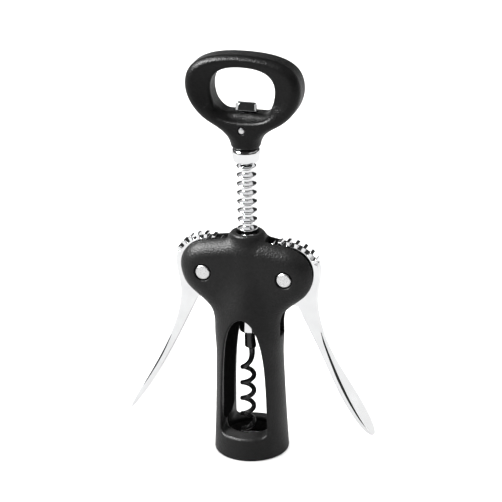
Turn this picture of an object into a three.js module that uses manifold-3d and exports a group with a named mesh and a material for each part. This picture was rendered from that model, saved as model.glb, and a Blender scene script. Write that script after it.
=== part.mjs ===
// Lever corkscrew with two lift levers, a ringed rack spindle, a worm and a bottle-opener handle.
// Millimetres, +Z up, origin at the centre of the bell's foot, front towards -Y.
// The levers hang a little open and the worm is drawn up inside the bell.

import * as THREE from 'three';
import { mergeVertices } from 'three/addons/utils/BufferGeometryUtils.js';
import Module from 'manifold-3d';

const wasm = await Module();
wasm.setup();

// ---------------------------------------------------------------- driving dimensions

const GAP = 0.3; // between parts that touch or run in each other

const BELL_RADIUS = 18.4; // outside, at the foot
const NECK_RADIUS = 16.3; // outside, at the waist
const FOOT_ROUND = 1.0;
const MOUTH_RADIUS = 15.3; // takes the lip of a wine bottle
const SEAT_Z = 7.5; // the bottle lip stops here
const CAVITY_RADIUS = 11.8;
const CAVITY_TOP = 73;
const WAIST_Z = 64;
const BORE_RADIUS = 5.6; // guides the spindle

const HEAD_DEPTH = 19.5; // front to back
const HEAD_ROUND = 7;
const COLLAR_RADIUS = 8.2;
const COLLAR_TOP = 114.6;

const PIVOT_X = 20.34;
const PIVOT_Z = 94.74;
const PIN_RADIUS = 2.4;
const PIN_HEAD_RADIUS = 3.5;
const PIN_HEAD_HEIGHT = 1.3;
const PIN_RECESS_RADIUS = 4.7;
const PIN_RECESS_DEPTH = 1.5;

const WINDOW_TOP = 73.5;
const FRONT_WINDOW_FOOT = 11.5;
const REAR_WINDOW_FOOT = 9.8;
const WINDOW_FOOT_HALF = 11.6;

const RING_PITCH = 4.51; // rack pitch of the spindle's rings
const RING_TOP_Z = 148.07;
const RING_COUNT = 16;
const RING_RADIUS = 4.95;
const CORE_RADIUS = 2.6;
const RING_RIM_HALF = 0.4; // half thickness of a ring at its rim
const PRESSURE = THREE.MathUtils.degToRad(22.5);
const BACKLASH = 0.3;
const SPINDLE_FOOT_Z = 62.8;
const SPINDLE_FOOT_RADIUS = 5.0;
const SPINDLE_FOOT_TOP = 71;
const SPINDLE_NECK_RADIUS = 3.8;
const SPINDLE_HEAD_Z = 170.2;
const SPINDLE_HEAD_RADIUS = 3.5;

const GEAR_TEETH = 25; // on a full circle, of which the lever carries a sector
const GEAR_RADIUS = (GEAR_TEETH * RING_PITCH) / (2 * Math.PI);
const GEAR_TIP = 17.3; // stub teeth, which stay inside the pitch circle
const GEAR_ROOT = 15.15;
const GEAR_HALF_WIDTH = 2.6;
const GEAR_SLOT_HALF = 3.5;
const LEVER_ANGLE = THREE.MathUtils.degToRad(29.15); // of the arm, out from straight down
const HUB_RADIUS = 6.5;
const HUB_HALF_WIDTH = 3.2;
const TEETH_BELOW_MESH = 3;
const TEETH_ABOVE_MESH = 11;

const TANG_RADIUS = 1.9;
const TANG_TOP_Z = 79;
const SHANK_RADIUS = 2.6;
const SHANK_FOOT_Z = 53.4;
const WIRE_RADIUS = 1.2;
const COIL_RADIUS = 2.85; // to the middle of the wire
const COIL_PITCH = 8.5;
const COIL_OFFSET = -1.15; // the coil stands a little to one side of the spindle
const COIL_LEAN = -0.85; // and leans further out by this much towards its tip
const COIL_TURNS = 4;
const WORM_TIP_Z = 8.3;
const WORM_PIN_RADIUS = 0.9;
const WORM_PIN_Z = 76;

const FERRULE_FOOT_Z = 150.3;
const FERRULE_TOP_Z = 157.4;
const FERRULE_RADIUS = 7.0;

const HANDLE_FOOT_Z = 157.7;
const HANDLE_TOP_Z = 204;
const HANDLE_HALF_WIDTH = 28.4;
const HANDLE_WIDE_Z = 188;
const HANDLE_DEPTH = 14;
const HANDLE_ROUND = 2.8; // how far the rounded edge steps in
const HANDLE_ROUND_DEPTH = 5; // and how far back it starts
const NECK_STUB_RADIUS = 7;
const HANDLE_PIN_RADIUS = 1.5;
const HANDLE_PIN_Z = 167.6;
const HOLE_TOP_Z = 197.8;
const HOLE_FLOOR_Z = 174.8;
const HOLE_HALF_WIDTH = 15.8;

const OPENER_HALF_WIDTH = 5.2;
const OPENER_TOP_Z = 179.3;
const OPENER_FOOT_Z = 171.8;
const OPENER_FRONT_Y = 0.8;
const OPENER_THICKNESS = 1.6;

// ---------------------------------------------------------------- solids

// A manifold solid from a closed three.js geometry, optionally moved by a matrix.
function solid(geometry, matrix = null) {
  const bare = geometry.clone();
  bare.deleteAttribute('normal');
  bare.deleteAttribute('uv');
  if (matrix) bare.applyMatrix4(matrix);
  const merged = mergeVertices(bare, 1e-4);
  return new wasm.Manifold(
    new wasm.Mesh({
      numProp: 3,
      vertProperties: new Float32Array(merged.attributes.position.array),
      triVerts: new Uint32Array(merged.index.array),
    }),
  );
}

// A three.js geometry from a manifold solid.
function geometryOf(manifold) {
  const mesh = manifold.getMesh();
  const geometry = new THREE.BufferGeometry();
  geometry.setAttribute('position', new THREE.BufferAttribute(mesh.vertProperties, 3));
  geometry.setIndex(new THREE.BufferAttribute(mesh.triVerts, 1));
  geometry.computeVertexNormals();
  return geometry;
}

// A solid of revolution about Z from [radius, z] points.
function turned(points, segments = 40) {
  const profile = points.map(([radius, z]) => new THREE.Vector2(radius, z));
  const upright = new THREE.Matrix4().makeRotationX(Math.PI / 2);
  return solid(new THREE.LatheGeometry(profile, segments), upright);
}

// A solid of revolution about the line through x, z along Y, from [radius, y] points.
function turnedAlongY(points, x, z, segments = 24) {
  const profile = points.map(([radius, y]) => new THREE.Vector2(radius, y));
  const place = new THREE.Matrix4().makeTranslation(x, 0, z);
  return solid(new THREE.LatheGeometry(profile, segments), place);
}

// A shape drawn in X and Z, extruded along Y and centred on y = 0.
function plate(shape, depth, round = 0, thickness = round, curveSegments = 10) {
  const geometry = new THREE.ExtrudeGeometry(shape, {
    depth: depth - 2 * thickness,
    bevelEnabled: round > 0,
    bevelSize: round,
    bevelThickness: thickness,
    bevelOffset: -round,
    bevelSegments: 3,
    curveSegments,
  });
  geometry.translate(0, 0, thickness - depth / 2);
  return solid(geometry, new THREE.Matrix4().makeRotationX(Math.PI / 2));
}

// A box between two corners.
function block(low, high) {
  const size = high.map((value, i) => value - low[i]);
  const middle = high.map((value, i) => (value + low[i]) / 2);
  return solid(new THREE.BoxGeometry(...size), new THREE.Matrix4().makeTranslation(...middle));
}

// A round rod along Y through x, z.
function rodAlongY(radius, low, high, x, z, segments = 20) {
  return turnedAlongY([[0, low], [radius, low], [radius, high], [0, high]], x, z, segments);
}

function union(...solids) {
  return solids.reduce((sum, next) => sum.add(next));
}

function cut(base, ...tools) {
  return tools.reduce((rest, tool) => rest.subtract(tool), base);
}

// ---------------------------------------------------------------- frame

// Front outline of the shoulders, from the waist up to the collar.
function headOutline() {
  const shape = new THREE.Shape();
  shape.moveTo(-NECK_RADIUS, WAIST_Z);
  shape.lineTo(NECK_RADIUS, WAIST_Z);
  shape.bezierCurveTo(NECK_RADIUS, 79, 29, 80, 32, 88.4);
  shape.bezierCurveTo(35.2, 96.5, 34, 107, 21, 110);
  shape.lineTo(COLLAR_RADIUS, 112.2);
  shape.lineTo(-COLLAR_RADIUS, 112.2);
  shape.lineTo(-21, 110);
  shape.bezierCurveTo(-34, 107, -35.2, 96.5, -32, 88.4);
  shape.bezierCurveTo(-29, 80, -NECK_RADIUS, 79, -NECK_RADIUS, WAIST_Z);
  return shape;
}

// Tall arched window of the bell, with its sill at a height.
function windowOutline(foot) {
  const corner = 3.5;
  const half = WINDOW_FOOT_HALF;
  const shape = new THREE.Shape();
  shape.moveTo(-half + corner, foot);
  shape.lineTo(half - corner, foot);
  shape.quadraticCurveTo(half, foot, half, foot + corner);
  shape.bezierCurveTo(10.8, 47, 10.6, 72, 0, WINDOW_TOP);
  shape.bezierCurveTo(-10.6, 72, -10.8, 47, -half, foot + corner);
  shape.quadraticCurveTo(-half, foot, -half + corner, foot);
  return shape;
}

// Slot that a lever's gear and web turn in: open above and outside, round the pivot inside.
function gearSlotOutline(side) {
  const radius = GEAR_TIP + 0.55;
  const rim = 9.4; // the slot's opening starts this far from the middle
  const floor = 62.5;
  const neckSide = 13.8;
  const beyond = 40;
  const start = Math.acos((rim - PIVOT_X) / radius);
  const end = 2 * Math.PI - Math.acos((neckSide - PIVOT_X) / radius);
  const steps = 18;
  const shape = new THREE.Shape();
  shape.moveTo(side * rim, COLLAR_TOP + 5);
  for (let i = 0; i <= steps; i += 1) {
    const angle = start + ((end - start) * i) / steps;
    shape.lineTo(side * (PIVOT_X + radius * Math.cos(angle)), PIVOT_Z + radius * Math.sin(angle));
  }
  shape.lineTo(side * neckSide, floor);
  shape.lineTo(side * beyond, floor);
  shape.lineTo(side * beyond, COLLAR_TOP + 5);
  return shape;
}

function bodyFrame() {
  const bell = turned([
    [0, 0],
    [BELL_RADIUS - FOOT_ROUND, 0],
    [BELL_RADIUS - 0.4, 0.4],
    [BELL_RADIUS, FOOT_ROUND],
    [17.5, 20],
    [16.75, 40],
    [NECK_RADIUS, 60],
    [NECK_RADIUS - 0.3, 68],
    [NECK_RADIUS - 1.6, 76],
    [11.6, 84],
    [9.4, 91],
    [0, 91],
  ], 40);
  const head = plate(headOutline(), HEAD_DEPTH, HEAD_ROUND, HEAD_ROUND, 8);
  const collar = turned([
    [0, 98],
    [9.6, 98],
    [9.4, 108],
    [COLLAR_RADIUS, 111.5],
    [COLLAR_RADIUS, COLLAR_TOP - 1.5],
    [COLLAR_RADIUS - 0.4, COLLAR_TOP - 0.5],
    [COLLAR_RADIUS - 1.4, COLLAR_TOP],
    [0, COLLAR_TOP],
  ], 28);
  const cavity = turned([
    [0, -1],
    [MOUTH_RADIUS + 0.6, -1],
    [MOUTH_RADIUS, 1.2],
    [MOUTH_RADIUS, SEAT_Z],
    [CAVITY_RADIUS, SEAT_Z],
    [CAVITY_RADIUS, CAVITY_TOP],
    [BORE_RADIUS, CAVITY_TOP + 5],
    [BORE_RADIUS, COLLAR_TOP + 1],
    [0, COLLAR_TOP + 1],
  ]);
  const reach = 1.5 * BELL_RADIUS;
  const frontWindow = plate(windowOutline(FRONT_WINDOW_FOOT), reach).translate([0, -reach / 2, 0]);
  const rearWindow = plate(windowOutline(REAR_WINDOW_FOOT), reach).translate([0, reach / 2, 0]);
  const face = HEAD_DEPTH / 2;
  const floor = face - PIN_RECESS_DEPTH;
  const cuts = [cavity, frontWindow, rearWindow];
  for (const side of [-1, 1]) {
    const x = side * PIVOT_X;
    cuts.push(plate(gearSlotOutline(side), 2 * GEAR_SLOT_HALF));
    cuts.push(rodAlongY(PIN_RADIUS + GAP, -face - 1, face + 1, x, PIVOT_Z));
    cuts.push(rodAlongY(PIN_RECESS_RADIUS, -face - 1, -floor, x, PIVOT_Z));
    cuts.push(rodAlongY(PIN_RECESS_RADIUS, floor, face + 1, x, PIVOT_Z));
  }
  return cut(union(bell, head, collar), ...cuts);
}

// Rivet through the shoulders, with a low domed head at each end.
function pivotPin(side) {
  const under = HEAD_DEPTH / 2 - PIN_RECESS_DEPTH + GAP;
  const top = under + PIN_HEAD_HEIGHT;
  const dome = 0.25;
  const half = [
    [PIN_RADIUS, under],
    [PIN_HEAD_RADIUS, under],
    [PIN_HEAD_RADIUS, top - dome],
    [PIN_HEAD_RADIUS - 0.6, top],
    [0, top],
  ];
  const mirrored = half.map(([radius, y]) => [radius, -y]).reverse();
  return turnedAlongY([...mirrored, ...half], side * PIVOT_X, PIVOT_Z);
}

// ---------------------------------------------------------------- spindle

function ringHeights() {
  return Array.from({ length: RING_COUNT }, (_, i) => RING_TOP_Z - i * RING_PITCH);
}

// Half thickness of a ring at a radius: its flanks slope at the pressure angle.
function ringHalf(radius) {
  return RING_RIM_HALF + (RING_RADIUS - radius) * Math.tan(PRESSURE);
}

function rackSpindle() {
  const rootHalf = ringHalf(CORE_RADIUS);
  const profile = [
    [0, SPINDLE_FOOT_Z],
    [SPINDLE_FOOT_RADIUS - 0.3, SPINDLE_FOOT_Z],
    [SPINDLE_FOOT_RADIUS, SPINDLE_FOOT_Z + 0.3],
    [SPINDLE_FOOT_RADIUS, SPINDLE_FOOT_TOP],
    [SPINDLE_NECK_RADIUS, SPINDLE_FOOT_TOP + 0.6],
    [SPINDLE_NECK_RADIUS, WORM_PIN_Z + 2],
    [CORE_RADIUS, WORM_PIN_Z + 2.6],
  ];
  for (const z of ringHeights().reverse()) {
    profile.push([CORE_RADIUS, z - rootHalf]);
    profile.push([RING_RADIUS, z - RING_RIM_HALF]);
    profile.push([RING_RADIUS, z + RING_RIM_HALF]);
    profile.push([CORE_RADIUS, z + rootHalf]);
  }
  profile.push([SPINDLE_HEAD_RADIUS, FERRULE_FOOT_Z + 0.6]);
  profile.push([SPINDLE_HEAD_RADIUS, SPINDLE_HEAD_Z - 0.6]);
  profile.push([SPINDLE_HEAD_RADIUS - 0.6, SPINDLE_HEAD_Z]);
  profile.push([0, SPINDLE_HEAD_Z]);
  const socket = turned([
    [0, SPINDLE_FOOT_Z - 1],
    [TANG_RADIUS + GAP, SPINDLE_FOOT_Z - 1],
    [TANG_RADIUS + GAP, TANG_TOP_Z + GAP],
    [0, TANG_TOP_Z + GAP],
  ], 20);
  const wormPinHole = rodAlongY(WORM_PIN_RADIUS + GAP, -5, 5, 0, WORM_PIN_Z, 14);
  const handlePinHole = rodAlongY(HANDLE_PIN_RADIUS + GAP, -5, 5, 0, HANDLE_PIN_Z, 16);
  return cut(turned(profile, 16), socket, wormPinHole, handlePinHole);
}

function neckFerrule() {
  const inner = SPINDLE_HEAD_RADIUS + GAP;
  return turned([
    [inner, FERRULE_FOOT_Z],
    [5.4, FERRULE_FOOT_Z],
    [6.1, FERRULE_FOOT_Z + 0.5],
    [6.4, FERRULE_FOOT_Z + 1.6],
    [FERRULE_RADIUS, FERRULE_TOP_Z - 1.9],
    [FERRULE_RADIUS - 0.2, FERRULE_TOP_Z - 0.8],
    [FERRULE_RADIUS - 0.9, FERRULE_TOP_Z - 0.15],
    [FERRULE_RADIUS - 1.9, FERRULE_TOP_Z],
    [inner, FERRULE_TOP_Z],
    [inner, FERRULE_FOOT_Z],
  ], 32);
}

// ---------------------------------------------------------------- worm

// Middle of the wire: a right-handed coil whose last half turn climbs steeply into the shank's side.
class WormPath extends THREE.Curve {
  getPoint(t, target = new THREE.Vector3()) {
    const coilEnd = 0.86;
    const along = Math.min(t / coilEnd, 1);
    const climb = Math.max((t - coilEnd) / (1 - coilEnd), 0);
    const lastTurn = (Math.PI + 0.17) * (1 - (1 - climb) ** 2.2);
    const angle = Math.PI + 2 * Math.PI * COIL_TURNS * (along - 1) + lastTurn;
    const radius = COIL_RADIUS - 0.4 * climb;
    const coilTop = WORM_TIP_Z + COIL_PITCH * COIL_TURNS;
    const steep = SHANK_FOOT_Z + 1 - coilTop - 9.86;
    return target.set(
      COIL_OFFSET + COIL_LEAN * (1 - along) + radius * Math.cos(angle),
      radius * Math.sin(angle),
      coilTop + COIL_PITCH * COIL_TURNS * (along - 1) + 9.86 * climb + steep * climb ** 2,
    );
  }
}

function worm() {
  const path = new WormPath();
  const section = new THREE.Shape();
  section.absarc(0, 0, WIRE_RADIUS, 0, 2 * Math.PI);
  const wire = solid(new THREE.ExtrudeGeometry(section, {
    steps: 64,
    curveSegments: 4,
    bevelEnabled: false,
    extrudePath: path,
  }));
  const tipLength = 4.2;
  const tip = new THREE.Object3D();
  tip.position.copy(path.getPoint(0));
  const forward = path.getTangent(0).negate();
  tip.quaternion.setFromUnitVectors(new THREE.Vector3(0, 1, 0), forward);
  tip.translateY(tipLength / 2 - 0.4);
  tip.updateMatrix();
  const point = solid(new THREE.ConeGeometry(WIRE_RADIUS * 0.97, tipLength, 8), tip.matrix);
  const shank = turned([
    [0, SHANK_FOOT_Z],
    [SHANK_RADIUS, SHANK_FOOT_Z],
    [SHANK_RADIUS, SPINDLE_FOOT_Z - GAP],
    [TANG_RADIUS, SPINDLE_FOOT_Z - GAP],
    [TANG_RADIUS, TANG_TOP_Z],
    [0, TANG_TOP_Z],
  ], 16);
  const pinHole = rodAlongY(WORM_PIN_RADIUS + GAP, -4, 4, 0, WORM_PIN_Z, 14);
  return cut(union(wire, point, shank), pinHole);
}

// ---------------------------------------------------------------- levers

function involute(angle) {
  return Math.tan(angle) - angle;
}

// Half the angle that a tooth covers at a radius.
function toothHalfAngle(radius) {
  const base = GEAR_RADIUS * Math.cos(PRESSURE);
  const slant = Math.acos(Math.min(1, base / radius));
  const thickness = RING_PITCH - 2 * ringHalf(PIVOT_X - GEAR_RADIUS) - BACKLASH;
  return thickness / 2 / GEAR_RADIUS + involute(PRESSURE) - involute(slant);
}

// Side outline of a lever with its sector of teeth; the tooth gaps face the spindle's rings.
function leverOutline(side) {
  const step = (2 * Math.PI) / GEAR_TEETH;
  const flank = GEAR_TIP - 0.7;
  const meshRing = ringHeights().reduce((best, z) =>
    Math.abs(z - PIVOT_Z) < Math.abs(best - PIVOT_Z) ? z : best);
  const gapAngle = Math.PI - (meshRing - PIVOT_Z) / GEAR_RADIUS;
  const shape = new THREE.Shape();
  const polar = (radius, angle) =>
    [side * (PIVOT_X + radius * Math.cos(angle)), PIVOT_Z + radius * Math.sin(angle)];
  shape.moveTo(side * 25.4, 78.7);
  shape.lineTo(...polar(GEAR_ROOT, gapAngle + (TEETH_BELOW_MESH + 1) * step));
  for (let i = -TEETH_BELOW_MESH; i < TEETH_ABOVE_MESH; i += 1) {
    const middle = gapAngle - (i + 0.5) * step;
    for (const radius of [GEAR_ROOT, flank, GEAR_TIP]) {
      shape.lineTo(...polar(radius, middle + toothHalfAngle(radius)));
    }
    for (const radius of [GEAR_TIP, flank, GEAR_ROOT]) {
      shape.lineTo(...polar(radius, middle - toothHalfAngle(radius)));
    }
  }
  shape.lineTo(side * 35.1, 101.6);
  shape.quadraticCurveTo(side * 36.6, 97, side * 35.0, 89);
  shape.lineTo(side * 34.3, 80);
  shape.bezierCurveTo(side * 35.5, 58, side * 54, 31, side * 62.9, 14);
  shape.lineTo(side * 62.2, 13.6);
  shape.bezierCurveTo(side * 46.5, 32.5, side * 33, 63, side * 25.4, 78.7);
  return shape;
}

// Outline of a lever seen square to its arm: narrow web, wide spoon, round tip.
function leverWidthOutline() {
  const web = GEAR_HALF_WIDTH;
  const spoon = 6.65;
  const tip = 91.6;
  const shape = new THREE.Shape();
  shape.moveTo(-25, -web);
  shape.lineTo(38, -web);
  shape.bezierCurveTo(50, -web, 58, -spoon, 76, -spoon);
  shape.bezierCurveTo(86, -spoon, tip, -4, tip, 0);
  shape.bezierCurveTo(tip, 4, 86, spoon, 76, spoon);
  shape.bezierCurveTo(58, spoon, 50, web, 38, web);
  shape.lineTo(-25, web);
  return shape;
}

function lever(side) {
  const reach = 60;
  const spoonWidth = 16;
  const arm = new THREE.Vector3(side * Math.sin(LEVER_ANGLE), 0, -Math.cos(LEVER_ANGLE));
  const across = new THREE.Vector3(0, 1, 0);
  const out = new THREE.Vector3().crossVectors(arm, across);
  const basis = new THREE.Matrix4().makeBasis(arm, across, out);
  basis.setPosition(side * PIVOT_X, 0, PIVOT_Z);
  const widthGeometry = new THREE.ExtrudeGeometry(leverWidthOutline(), {
    depth: 2 * reach,
    bevelEnabled: false,
    curveSegments: 6,
  });
  widthGeometry.translate(0, 0, -reach);
  const profile = plate(leverOutline(side), spoonWidth);
  const hub = rodAlongY(HUB_RADIUS, -HUB_HALF_WIDTH, HUB_HALF_WIDTH, side * PIVOT_X, PIVOT_Z);
  const hole = rodAlongY(PIN_RADIUS + GAP, -10, 10, side * PIVOT_X, PIVOT_Z);
  return cut(union(profile.intersect(solid(widthGeometry, basis)), hub), hole);
}

// ---------------------------------------------------------------- handle

function handleOutline() {
  const stubTop = 160;
  const shape = new THREE.Shape();
  shape.moveTo(-7.3, stubTop);
  shape.lineTo(7.3, stubTop);
  shape.bezierCurveTo(9.0, 165.5, 13.5, 167.6, 17.6, 170.3);
  shape.bezierCurveTo(23.5, 174.1, HANDLE_HALF_WIDTH, 180.7, HANDLE_HALF_WIDTH, HANDLE_WIDE_Z);
  shape.bezierCurveTo(HANDLE_HALF_WIDTH, 198, 21.4, HANDLE_TOP_Z, 0, HANDLE_TOP_Z);
  shape.bezierCurveTo(-21.4, HANDLE_TOP_Z, -HANDLE_HALF_WIDTH, 198, -HANDLE_HALF_WIDTH, HANDLE_WIDE_Z);
  shape.bezierCurveTo(-HANDLE_HALF_WIDTH, 180.7, -23.5, 174.1, -17.6, 170.3);
  shape.bezierCurveTo(-13.5, 167.6, -9.0, 165.5, -7.3, stubTop);
  shape.holes.push(holeOutline());
  return shape;
}

// D-shaped finger hole with a flat floor.
function holeOutline() {
  const hole = new THREE.Path();
  hole.moveTo(0, HOLE_TOP_Z);
  hole.bezierCurveTo(9, HOLE_TOP_Z, HOLE_HALF_WIDTH, 195.5, HOLE_HALF_WIDTH, 187);
  hole.bezierCurveTo(HOLE_HALF_WIDTH, 182.5, 13.5, HOLE_FLOOR_Z, 8.5, HOLE_FLOOR_Z);
  hole.lineTo(-8.5, HOLE_FLOOR_Z);
  hole.bezierCurveTo(-13.5, HOLE_FLOOR_Z, -HOLE_HALF_WIDTH, 182.5, -HOLE_HALF_WIDTH, 187);
  hole.bezierCurveTo(-HOLE_HALF_WIDTH, 195.5, -9, HOLE_TOP_Z, 0, HOLE_TOP_Z);
  return hole;
}

function handleGrip() {
  const loop = plate(handleOutline(), HANDLE_DEPTH, HANDLE_ROUND, HANDLE_ROUND_DEPTH, 7);
  const stub = turned([
    [0, HANDLE_FOOT_Z],
    [NECK_STUB_RADIUS, HANDLE_FOOT_Z],
    [7.3, 160],
    [7.0, 165],
    [6.3, 168],
    [0, 168],
  ], 28);
  const socket = turned([
    [0, HANDLE_FOOT_Z - 1],
    [SPINDLE_HEAD_RADIUS + GAP, HANDLE_FOOT_Z - 1],
    [SPINDLE_HEAD_RADIUS + GAP, SPINDLE_HEAD_Z + GAP],
    [0, SPINDLE_HEAD_Z + GAP],
  ], 20);
  const pinHole = rodAlongY(HANDLE_PIN_RADIUS + GAP, -HANDLE_DEPTH, HANDLE_DEPTH, 0, HANDLE_PIN_Z, 16);
  const pocket = block(
    [-OPENER_HALF_WIDTH - GAP, OPENER_FRONT_Y - GAP, OPENER_FOOT_Z - GAP],
    [OPENER_HALF_WIDTH + GAP, OPENER_FRONT_Y + OPENER_THICKNESS + GAP, HOLE_FLOOR_Z + 4],
  );
  const dishShape = new THREE.Matrix4().makeTranslation(0, -7.6, 177);
  dishShape.scale(new THREE.Vector3(15, 7.4, 5.8));
  const dish = solid(new THREE.SphereGeometry(1, 18, 12), dishShape);
  return cut(union(loop, stub), socket, pinHole, pocket, dish);
}

// Steel claw that stands up from the floor of the finger hole and hooks a crown cap.
function bottleOpener() {
  const corner = 1.8;
  const shape = new THREE.Shape();
  shape.moveTo(-OPENER_HALF_WIDTH, OPENER_FOOT_Z);
  shape.lineTo(OPENER_HALF_WIDTH, OPENER_FOOT_Z);
  shape.lineTo(OPENER_HALF_WIDTH, OPENER_TOP_Z - corner);
  shape.quadraticCurveTo(OPENER_HALF_WIDTH, OPENER_TOP_Z, OPENER_HALF_WIDTH - corner, OPENER_TOP_Z);
  shape.lineTo(-OPENER_HALF_WIDTH + corner, OPENER_TOP_Z);
  shape.quadraticCurveTo(-OPENER_HALF_WIDTH, OPENER_TOP_Z, -OPENER_HALF_WIDTH, OPENER_TOP_Z - corner);
  const blade = plate(shape, OPENER_THICKNESS, 0, 0, 4)
    .translate([0, OPENER_FRONT_Y + OPENER_THICKNESS / 2, 0]);
  const lipBack = OPENER_FRONT_Y + 0.2;
  const lipTop = block([-3.0, -0.3, OPENER_TOP_Z - 0.5], [4.4, lipBack, OPENER_TOP_Z]);
  const lipFoot = block([-3.0, -1.8, OPENER_TOP_Z - 3.4], [4.8, lipBack, OPENER_TOP_Z - 2.9]);
  return union(blade, union(lipTop, lipFoot).hull());
}

// ---------------------------------------------------------------- assembly

const MATTE_BLACK = { color: 0x2e2e2f, roughness: 0.55, metalness: 0.0 };
const CHROME = { color: 0xd9dadc, roughness: 0.12, metalness: 1.0 };
const SATIN_STEEL = { color: 0xc4c6c8, roughness: 0.32, metalness: 1.0 };
const COATED_BLACK = { color: 0x161616, roughness: 0.22, metalness: 0.0 };

function part(name, shape, finish) {
  const mesh = new THREE.Mesh(geometryOf(shape), new THREE.MeshStandardMaterial(finish));
  mesh.name = name;
  return mesh;
}

const corkscrew = new THREE.Group();
corkscrew.add(part('body_frame', bodyFrame(), MATTE_BLACK));
for (const [name, side] of [['left', -1], ['right', 1]]) {
  corkscrew.add(part(`${name}_lever`, lever(side), CHROME));
  corkscrew.add(part(`${name}_pivot_pin`, pivotPin(side), SATIN_STEEL));
}
corkscrew.add(part('rack_spindle', rackSpindle(), CHROME));
corkscrew.add(part('neck_ferrule', neckFerrule(), CHROME));
corkscrew.add(part('worm', worm(), COATED_BLACK));
const wormPin = rodAlongY(WORM_PIN_RADIUS, -3.5, 3.5, 0, WORM_PIN_Z, 14);
corkscrew.add(part('worm_pin', wormPin, SATIN_STEEL));
corkscrew.add(part('handle_grip', handleGrip(), MATTE_BLACK));
const handlePin = rodAlongY(HANDLE_PIN_RADIUS, -6.9, 6.9, 0, HANDLE_PIN_Z, 16);
corkscrew.add(part('handle_pin', handlePin, SATIN_STEEL));
corkscrew.add(part('bottle_opener', bottleOpener(), SATIN_STEEL));

export default corkscrew;
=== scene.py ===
import math

import bpy
import numpy as np
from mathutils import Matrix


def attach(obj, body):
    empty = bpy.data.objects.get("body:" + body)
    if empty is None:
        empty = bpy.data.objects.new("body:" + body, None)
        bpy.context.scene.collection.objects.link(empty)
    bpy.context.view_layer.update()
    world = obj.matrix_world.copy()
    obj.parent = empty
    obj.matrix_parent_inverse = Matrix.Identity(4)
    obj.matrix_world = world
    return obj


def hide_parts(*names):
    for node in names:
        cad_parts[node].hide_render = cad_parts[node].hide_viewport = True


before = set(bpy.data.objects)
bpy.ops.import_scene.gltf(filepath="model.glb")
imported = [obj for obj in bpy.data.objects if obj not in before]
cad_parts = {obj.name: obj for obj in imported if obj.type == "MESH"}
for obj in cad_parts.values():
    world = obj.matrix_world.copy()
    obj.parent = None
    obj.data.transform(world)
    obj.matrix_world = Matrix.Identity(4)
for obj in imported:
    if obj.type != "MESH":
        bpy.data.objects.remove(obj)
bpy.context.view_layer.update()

import openvdb
from mathutils import Quaternion, Vector

# Lever corkscrew. Moulded and bent pieces are signed distance fields in millimetres (negative inside),
# meshed finely and given normals from the field itself. Turned pieces are lathed. Blender works in metres.

MM = 0.001

# ------------------------------------------------------------------ driving dimensions, millimetres

CLEARANCE = 0.3

BELL_RADIUS = 18.4
NECK_RADIUS = 16.3
MOUTH_RADIUS = 15.3
SEAT_Z = 7.5
CAVITY_RADIUS = 11.8
CAVITY_TOP = 73
BORE_RADIUS = 5.6
WAIST_Z = 62
NARROWING_Z = 60
NARROWING_HEIGHT = 32
NARROWING_DEPTH = 7.2
WINDOW_HALF_WIDTH = 11.6
WINDOW_TOP = 73.5
FRONT_SILL_Z = 11.0
FRONT_SILL_RISE = 0.38
REAR_SILL_Z = 9.6
HEAD_HALF_DEPTH = 9.75
HEAD_ROUND = 9.0
COLLAR_RADIUS = 8.3
COLLAR_TOP = 114.6

PIVOT_X = 20.34
PIVOT_Z = 94.74
PIN_RADIUS = 2.4
PIN_HEAD_RADIUS = 3.5
PIN_FACE_Y = 9.85
PIN_RECESS_RADIUS = 4.3
PIN_RECESS_DEPTH = 1.5

RING_PITCH = 4.51
RING_TOP_Z = 148.07
RING_COUNT = 16
RING_RADIUS = 4.95
CORE_RADIUS = 2.6
RING_RIM_HALF = 0.4
PRESSURE = math.radians(22.5)

GEAR_TEETH = 25
GEAR_RADIUS = GEAR_TEETH * RING_PITCH / (2 * math.pi)
GEAR_TIP = 17.3
GEAR_ROOT = 15.15
GEAR_HALF_WIDTH = 2.6
GEAR_SLOT_HALF = 3.5
HUB_RADIUS = 6.5
HUB_HALF_WIDTH = 3.2
TEETH_BELOW_MESH = 3
TEETH_ABOVE_MESH = 11
BACKLASH = 0.3
LEVER_ANGLE = math.radians(29.15)
LEVER_TIP = 91.6
SPOON_START = 36
SPOON_WIDEST = 74
SPOON_HALF_WIDTH = 6.65

SPINDLE_FOOT_Z = 62.8
SPINDLE_TOP_Z = 170.2
SPINDLE_FOOT_RADIUS = 5.0
SPINDLE_NECK_RADIUS = 3.8
SHANK_RADIUS = 2.6
SHANK_FOOT_Z = 54.2
SHANK_TOP_Z = 62.7
WIRE_RADIUS = 1.2
COIL_RADIUS = 2.85
COIL_PITCH = 8.5
COIL_OFFSET = -1.15
COIL_LEAN = -0.85
COIL_TURNS = 4
WORM_TIP_Z = 8.3
WORM_PIN_Z = 76
WORM_PIN_RADIUS = 0.9

FERRULE_FOOT_Z = 150.3
FERRULE_TOP_Z = 157.4
FERRULE_RADIUS = 7.0

HANDLE_FOOT_Z = 157.7
HANDLE_TOP_Z = 204
HANDLE_HALF_WIDTH = 28.4
HANDLE_WIDE_Z = 188
HANDLE_HALF_DEPTH = 7
HANDLE_ROUND = 4.0
HOLE_TOP_Z = 197.8
HOLE_FLOOR_Z = 174.8
HOLE_HALF_WIDTH = 15.8
DISH_Y = -7.6
DISH_Z = 177
DISH_HALF_WIDTH = 15
DISH_HALF_DEPTH = 7.4
DISH_HALF_HEIGHT = 5.8
HANDLE_BORE_RADIUS = 3.8
HANDLE_PIN_Z = 167.6
HANDLE_PIN_RADIUS = 1.5

OPENER_HALF_WIDTH = 5.2
OPENER_TOP_Z = 179.3
OPENER_FOOT_Z = 171.8
OPENER_FRONT_Y = 0.8
OPENER_THICKNESS = 1.6

# ------------------------------------------------------------------ fields


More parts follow.
